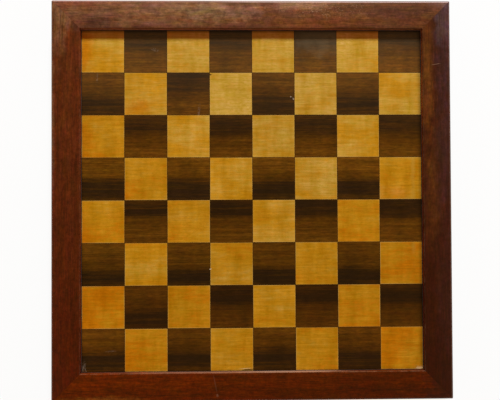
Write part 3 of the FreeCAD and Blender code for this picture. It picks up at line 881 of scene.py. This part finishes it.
def draw_rail_section(shape, sizes):
    """A rail's section as one face at Y = -1, with X outwards and its lip, rebate, rounds and crown."""
    lip_level = FIELD_LEVEL + sizes.lip_thickness
    outer_level = lip_level - sizes.outer_drop
    places = [
        (sizes.rebate_half, SOLE_LEVEL),
        (sizes.board_half, SOLE_LEVEL),
        (sizes.board_half, outer_level),
        (sizes.sight_half, lip_level),
        (sizes.sight_half, FIELD_LEVEL),
        (sizes.rebate_half, FIELD_LEVEL),
    ]
    corners = [shape.verts.new((out, -1.0, level)) for out, level in places]
    shape.faces.new(corners)
    foot, outer, sight = corners[1:4]
    for corner, offset, segments in (
        (foot, sizes.sole_ease, 1),
        (outer, sizes.outer_round, 8),
        (sight, sizes.sight_round, 6),
    ):
        round_off(shape, [corner], offset, "VERTICES", segments)
    split_walls(shape)
    raise_crown(shape, sizes, outer_level)


def split_walls(shape):
    """Divides the long edges of the section, so that they can be crowned and worn."""
    for edge in list(shape.edges):
        cuts = int(edge.calc_length() // FACET)
        if cuts > 1:
            bmesh.ops.subdivide_edges(shape, edges=[edge], cuts=cuts)


def raise_crown(shape, sizes, outer_level):
    """Bends the top of the section to an arc between its two edges."""
    half = (sizes.board_half - sizes.sight_half) / 2
    middle = sizes.sight_half + half
    depth = math.sqrt(sizes.crown_radius**2 - half**2)
    foot = outer_level - sizes.outer_round
    for corner in shape.verts:
        if corner.co.z > foot:
            offset = corner.co.x - middle
            rise = math.sqrt(max(sizes.crown_radius**2 - offset**2, 0.0)) - depth
            corner.co.z += rise * min((corner.co.z - foot) / sizes.outer_round, 1.0)


def rail_stations(sizes):
    """Places along a rail from -1 to 1, evenly spaced but closer together near the mitres."""
    ends = [1 - step / sizes.board_half for step in NEAR_MITRE]
    count = round(ends[-1] * sizes.board_half / STATION)
    half = [ends[-1] * step / count for step in range(1, count)] + ends[::-1]
    return [-place for place in reversed(half)] + [0.0] + half


def extend_rail(shape, sizes):
    """Draws the section out to Y = 1, then fans it out to its mitres and rounds its outer corners."""
    stations = rail_stations(sizes)
    drawn = bmesh.ops.extrude_face_region(shape, geom=list(shape.faces))
    ends = [item for item in drawn["geom"] if isinstance(item, bmesh.types.BMVert)]
    bmesh.ops.translate(shape, verts=ends, vec=(0.0, 2.0, 0.0))
    lengthwise = [edge for edge in shape.edges if abs(edge.verts[0].co.y - edge.verts[1].co.y) > 1.0]
    bmesh.ops.subdivide_edges(shape, edges=lengthwise, cuts=len(stations) - 2, use_grid_fill=True)
    centre = sizes.board_half - sizes.corner_round
    for corner in shape.verts:
        step = round((corner.co.y + 1.0) / 2.0 * (len(stations) - 1))
        corner.co.y = stations[step] * corner.co.x
        past = Vector((corner.co.x - centre, abs(corner.co.y) - centre))
        if min(past) > 0 and past.length > sizes.corner_round:
            past *= sizes.corner_round / past.length
            corner.co.x = centre + past.x
            corner.co.y = math.copysign(centre + past.y, corner.co.y)


def wear_rail(shape, sizes):
    """Lets the planed top wander a little and rubs the upper edges down where hands hold the board."""
    shape.normal_update()
    moves = []
    for corner in shape.verts:
        if corner.co.z < FIELD_LEVEL + sizes.lip_thickness / 2:
            continue
        along, out = sorted((abs(corner.co.x), abs(corner.co.y)))
        wave = noise.noise(corner.co * PLANE_MARKS) * sizes.waviness
        worn = noise.noise(corner.co * WORN_PLACES + ELSEWHERE) + MOSTLY_WORN
        near_edge = max(
            1 - abs(out - sizes.sight_half) / sizes.inner_wear,
            1 - abs(out - sizes.board_half) / sizes.outer_wear,
            0.0,
        )
        seam = max(1 - (out - along) / sizes.seam_width, 0.0) * sizes.seam
        down = Vector((0.0, 0.0, wave - sizes.waviness - seam))
        moves.append((corner, down - corner.normal * max(worn, 0.0) * sizes.wear * near_edge))
    for corner, move in moves:
        corner.co += move


def make_rail(side, turns, material):
    """One mitred rail of the frame."""
    sizes = bpy.context.scene.rail_sizes
    shape = bmesh.new()
    draw_rail_section(shape, sizes)
    extend_rail(shape, sizes)
    bmesh.ops.rotate(shape, verts=shape.verts, matrix=Matrix.Rotation(turns * math.pi / 2, 3, "Z"))
    bmesh.ops.recalc_face_normals(shape, faces=shape.faces)
    wear_rail(shape, sizes)
    piece = place_piece(f"rail_{side}", shape, material, [f"frame_rail_{side}"])
    smooth(piece, math.radians(38))


def start_squares():
    """An empty shape, with its layer for where squares lie on their leaf and its layer for their tones."""
    shape = bmesh.new()
    return shape, shape.loops.layers.uv.new("figure"), shape.verts.layers.float_vector.new("tone")


def square_centre(file, rank):
    """The middle of a square's foot."""
    return Vector(((file - 0.5) * SQUARE - FIELD_HALF, (rank - 0.5) * SQUARE - FIELD_HALF, VENEER_FOOT))


def faces_round(corners):
    """The faces that meet at some corners, each once and in the order in which they are met."""
    return list(dict.fromkeys(face for corner in corners for face in corner.link_faces))


def cut_square(shape, centre, sizes):
    """One square of veneer: a grid drawn up to its thickness and rounded above. Returns its corners."""
    known = set(shape.verts)
    side = SQUARE - sizes.joint
    grid = bmesh.ops.create_grid(
        shape, x_segments=8, y_segments=8, size=side / 2, matrix=Matrix.Translation(centre)
    )
    drawn = bmesh.ops.extrude_face_region(shape, geom=faces_round(grid["verts"]), use_keep_orig=True)
    top = [item for item in drawn["geom"] if isinstance(item, bmesh.types.BMVert)]
    bmesh.ops.translate(shape, verts=top, vec=(0.0, 0.0, FIELD_LEVEL - VENEER_FOOT))
    raised = set(top)
    rim = []
    for edge in dict.fromkeys(edge for corner in top for edge in corner.link_edges):
        offset = (edge.verts[0].co + edge.verts[1].co) / 2 - centre
        if set(edge.verts) <= raised and max(abs(offset.x), abs(offset.y)) > side / 2 - HAIR:
            rim.append(edge)
    round_off(shape, rim, sizes.rim, "EDGES", 2)
    return [corner for corner in shape.verts if corner not in known]


def settle_square(corners, centre, sizes, chance):
    """Tilts and cups the top of a square a little, as old veneer does."""
    lean = Vector((chance.uniform(-1, 1), chance.uniform(-1, 1)))
    hollow = chance.uniform(-0.8, 0.8)
    rim_foot = FIELD_LEVEL - sizes.rim * 1.1
    for corner in corners:
        if corner.co.z > rim_foot:
            x = (corner.co.x - centre.x) / SQUARE * 2
            y = (corner.co.y - centre.y) / SQUARE * 2
            corner.co.z += sizes.cup * (lean.x * x + lean.y * y + hollow * (x * x + y * y - 1)) / 2


def map_figure(corners, figure, centre, place, turned):
    """Lays a square on the leaf it was cut from, either way round."""
    way = -1.0 if turned else 1.0
    for face in faces_round(corners):
        for loop in face.loops:
            offset = loop.vert.co - centre
            loop[figure].uv = (place[0] + way * offset.x, place[1] + way * offset.y)


def finish_rank(shape, colour_name, rank, material):
    """Turns the four squares of one colour in a rank into their piece."""
    nodes = [f"{colour_name}_squares_rank_{rank}"]
    slot = f"{colour_name}_veneer"
    piece = place_piece(f"{slot}_rank_{rank}", shape, material, nodes)
    smooth(piece, math.radians(12))


def lay_dark_rank(rank, material):
    """The dark squares of one rank, cut from one strip, so that their bands line up."""
    sizes = bpy.context.scene.square_sizes
    chance = random.Random(sizes.seed * 100 + rank)
    shape, figure, tone = start_squares()
    # Far ranks are made lighter: painted light, brighter towards the far side
    rank_tone = (0.90 + 0.045 * rank + chance.uniform(-0.03, 0.03)) * STRIP_TONE.get(rank, 1.0)
    redness = chance.uniform(0.0, 0.3) * (1.3 - rank / 7)
    shift = chance.uniform(-0.05, 0.05)
    for step, file in enumerate(range(2 - rank % 2, 9, 2)):
        centre = square_centre(file, rank)
        corners = cut_square(shape, centre, sizes)
        turned = (rank % 2 == 0) != ((file, rank) in TURNED_SQUARES)
        map_figure(corners, figure, centre, (rank * DARK_LEAF + step * SQUARE, SQUARE / 2), turned)
        edge_tone = 0.96 + 0.13 * (centre.x / FIELD_HALF) ** 2
        square_tone = rank_tone * edge_tone * chance.uniform(0.96, 1.04)
        tones = Vector((square_tone, redness + chance.uniform(0, 0.1), shift))
        for corner in corners:
            corner[tone] = tones
        settle_square(corners, centre, sizes, chance)
    finish_rank(shape, "dark", rank, material)


def lay_light_rank(rank, material):
    """The light squares of one rank, each from its own part of the leaf, more orange near both ends."""
    sizes = bpy.context.scene.square_sizes
    chance = random.Random(sizes.seed * 1000 + rank)
    shape, figure, tone = start_squares()
    for file in range(1 + rank % 2, 9, 2):
        centre = square_centre(file, rank)
        corners = cut_square(shape, centre, sizes)
        place = (rank * LIGHT_LEAF + file * 0.31, chance.uniform(0.0, 0.6))
        map_figure(corners, figure, centre, place, chance.random() < 0.5)
        sideways = centre.x / FIELD_HALF
        # Far ranks are made a little lighter and much less orange: painted sheen of the varnish, stronger
        # towards the far side
        brightness = 0.93 + 0.01 * rank - 0.015 * sideways + chance.uniform(-0.05, 0.06)
        orange = 0.42 - 0.14 * rank + 0.66 * sideways**2 + chance.uniform(-0.15, 0.15)
        orange -= 0.12 * max(sideways, 0.0) * max(rank - 4, 0)
        pull = chance.uniform(-0.4, 1.2)
        for corner in corners:
            offset = (corner.co - centre) / SQUARE
            gathered = max(offset.x * sideways * 1.1 - offset.y * 0.6, 0.0)
            corner[tone] = Vector((brightness, orange, pull * gathered))
        settle_square(corners, centre, sizes, chance)
    finish_rank(shape, "light", rank, material)


def make_pad(corner_name, material):
    """A felt disc under one corner: half its section spun round, with a slightly uneven rim."""
    sizes = bpy.context.scene.pad_sizes
    low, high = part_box(f"baize_pad_{corner_name}")
    middle = (low + high) / 2
    radius = (high.x - low.x) / 2
    thickness = high.z - low.z
    places = [
        (0.0, 0.0),
        (radius * 0.5, 0.0),
        (radius - sizes.ease, 0.0),
        (radius, sizes.ease * 0.7),
        (radius, thickness * 0.55),
        (radius - sizes.ease * 0.5, thickness),
        (radius * 0.5, thickness),
        (0.0, thickness),
    ]
    shape = bmesh.new()
    section = [shape.verts.new((out, 0.0, level)) for out, level in places]
    edges = [shape.edges.new(pair) for pair in zip(section, section[1:])]
    around = {"cent": (0, 0, 0), "axis": (0, 0, 1), "angle": math.tau, "steps": 72}
    bmesh.ops.spin(shape, geom=section + edges, use_merge=True, **around)
    bmesh.ops.remove_doubles(shape, verts=shape.verts, dist=HAIR)
    for corner in shape.verts:
        out = corner.co.xy.length
        if out > radius * 0.8:
            ragged = noise.noise(Vector((corner.co.x, corner.co.y, middle.x + corner.co.z)) * FRAYS)
            share = 1 - sizes.fray * (0.5 + 0.5 * ragged) / out
            corner.co.x *= share
            corner.co.y *= share
    bmesh.ops.translate(shape, verts=shape.verts, vec=(middle.x, middle.y, low.z))
    piece = place_piece(f"felt_pad_{corner_name}", shape, material, [f"baize_pad_{corner_name}"])
    smooth(piece, math.radians(50))


def make_lamp(name, place, width, power, tone):
    """A soft round lamp that faces the middle of the board."""
    data = bpy.data.lights.new(name, "AREA")
    data.shape = "DISK"
    data.size = width
    data.energy = power
    data.color = tone
    lamp = add_object(name, data)
    lamp.location = place
    lamp.rotation_euler = (-place).to_track_quat("-Z", "Y").to_euler()


def lay_floor(size):
    """A plain pale floor that looks white to the camera and keeps the board's shadow, faintly."""
    shape = bmesh.new()
    bmesh.ops.create_grid(shape, x_segments=1, y_segments=1, size=size / 2)
    material = bpy.data.materials.new("pale_floor")
    material.use_nodes = True
    tree = Nodes(material.node_tree)
    matt = tree.nodes["Principled BSDF"]
    tree.feed(matt.inputs["Base Color"], (FLOOR_GREY, FLOOR_GREY, FLOOR_GREY))
    tree.feed(matt.inputs["Roughness"], 0.9)
    glow = tree.put("Emission", {"Strength": 1.0})["Emission"]
    share = tree.times(tree.seen_directly(), FLOOR_GLOW)
    tree.mix_shaders(share, matt.outputs["BSDF"], glow, "Material Output")
    floor = add_mesh("floor", shape, material)


def light_room():
    """A dim, even room light that looks white to the camera."""
    world = bpy.data.worlds.new("studio")
    bpy.context.scene.world = world
    world.use_nodes = True
    tree = Nodes(world.node_tree)
    fill = tree.nodes["Background"]
    tree.feed(fill.inputs["Color"], ROOM_COLOUR)
    tree.feed(fill.inputs["Strength"], ROOM_STRENGTH)
    white = tree.put("Background", {"Color": (1.0, 1.0, 1.0), "Strength": 1.0})["Background"]
    tree.mix_shaders(tree.seen_directly(), fill.outputs["Background"], white, "World Output")


def set_camera(stage):
    """The camera, where the photograph was taken from."""
    data = bpy.data.cameras.new("camera")
    data.sensor_width = 36.0
    data.lens = stage.focal_length
    data.clip_start = 0.01
    camera = add_object("camera", data)
    camera.location = stage.camera_place
    camera.rotation_euler = stage.camera_turn
    bpy.context.scene.camera = camera


class MakeFrameRails(bpy.types.Operator):
    """Make the four rails of the frame"""

    bl_idname = "chess_board.make_frame_rails"
    bl_label = "Make Frame Rails"

    def execute(self, context):
        for turns, side in enumerate(SIDES):
            make_rail(side, turns, stain_frame_wood(side))
        return {"FINISHED"}


class LayDarkSquares(bpy.types.Operator):
    """Lay the dark veneer squares, rank by rank"""

    bl_idname = "chess_board.lay_dark_squares"
    bl_label = "Lay Dark Squares"

    def execute(self, context):
        material = finish_field(*varnish_dark_veneer(), context.scene.board_colours.dark_worn)
        for rank in RANKS:
            lay_dark_rank(rank, material)
        return {"FINISHED"}


class LayLightSquares(bpy.types.Operator):
    """Lay the light veneer squares, rank by rank"""

    bl_idname = "chess_board.lay_light_squares"
    bl_label = "Lay Light Squares"

    def execute(self, context):
        material = finish_field(*varnish_light_veneer(), context.scene.board_colours.light_worn)
        for rank in RANKS:
            lay_light_rank(rank, material)
        return {"FINISHED"}


class FinishPanel(bpy.types.Operator):
    """Finish the ground planks, the edge banding and the loose tongues"""

    bl_idname = "chess_board.finish_panel"
    bl_label = "Finish Panel"

    def execute(self, context):
        tones = context.scene.board_colours
        for number in PLANKS:
            pine = finish_pine(f"pine_{number}", number * 0.53, PLANK_TONES[number - 1])
            pave(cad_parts[f"ground_plank_{number}"], pine)
        for side in SIDES:
            banding = finish_bare_wood(f"banding_{side}", tones.dark_heart, grain_angle(side))
            pave(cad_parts[f"edge_banding_{side}"], banding)
        tongue_wood = finish_bare_wood("beech", tones.beech, math.pi / 4)
        for corner in CORNERS:
            pave(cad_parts[f"mitre_tongue_{corner}"], tongue_wood)
        return {"FINISHED"}


class FinishBeads(bpy.types.Operator):
    """Finish the retaining beads and their pins"""

    bl_idname = "chess_board.finish_beads"
    bl_label = "Finish Beads and Pins"

    def execute(self, context):
        tones = context.scene.board_colours
        for side in SIDES:
            bead = finish_bare_wood(f"bead_wood_{side}", tones.bead, grain_angle(side))
            pave(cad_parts[f"retaining_bead_{side}"], bead)
        pave(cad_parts["bead_pins"], finish_steel())
        return {"FINISHED"}


class MakePads(bpy.types.Operator):
    """Make the baize pads under the corners"""

    bl_idname = "chess_board.make_pads"
    bl_label = "Make Baize Pads"

    def execute(self, context):
        felt = finish_baize()
        for corner in CORNERS:
            make_pad(corner, felt)
        return {"FINISHED"}


class SetStage(bpy.types.Operator):
    """Set the camera, the lamps and the pale floor"""

    bl_idname = "chess_board.set_stage"
    bl_label = "Set Stage"

    def execute(self, context):
        stage = context.scene.stage_sizes
        context.scene.view_settings.view_transform = "Standard"
        lay_floor(stage.floor_size)
        light_room()
        for name, settings in LAMPS.items():
            make_lamp(name, *settings)
        set_camera(stage)
        return {"FINISHED"}


OPERATORS = (MakeFrameRails, LayDarkSquares, LayLightSquares, FinishPanel, FinishBeads, MakePads, SetStage)
SETTINGS = {
    "rail_sizes": RailSizes,
    "square_sizes": SquareSizes,
    "pad_sizes": PadSizes,
    "board_colours": Colours,
    "stage_sizes": StageSizes,
}


class ChessBoardPanel(bpy.types.Panel):
    """Lists the steps and the sizes and colours that they use"""

    bl_idname = "VIEW3D_PT_chess_board"
    bl_label = "Chess Board"
    bl_space_type = "VIEW_3D"
    bl_region_type = "UI"
    bl_category = "Chess Board"

    def draw(self, context):
        for operator in OPERATORS:
            self.layout.operator(operator.bl_idname)
        for name, group in SETTINGS.items():
            box = self.layout.box()
            box.label(text=group.__doc__)
            for setting in group.__annotations__:
                box.prop(getattr(context.scene, name), setting)


def register():
    for group in SETTINGS.values():
        bpy.utils.register_class(group)
    for operator in OPERATORS:
        bpy.utils.register_class(operator)
    bpy.utils.register_class(ChessBoardPanel)
    for name, group in SETTINGS.items():
        setattr(bpy.types.Scene, name, PointerProperty(type=group))


def unregister():
    for name in SETTINGS:
        delattr(bpy.types.Scene, name)
    bpy.utils.unregister_class(ChessBoardPanel)
    for operator in reversed(OPERATORS):
        bpy.utils.unregister_class(operator)
    for group in SETTINGS.values():
        bpy.utils.unregister_class(group)


def main():
    """Makes the whole board."""
    register()
    bpy.ops.chess_board.make_frame_rails()
    bpy.ops.chess_board.lay_dark_squares()
    bpy.ops.chess_board.lay_light_squares()
    bpy.ops.chess_board.finish_panel()
    bpy.ops.chess_board.finish_beads()
    bpy.ops.chess_board.make_pads()
    bpy.ops.chess_board.set_stage()


if __name__ == "__main__":
    main()
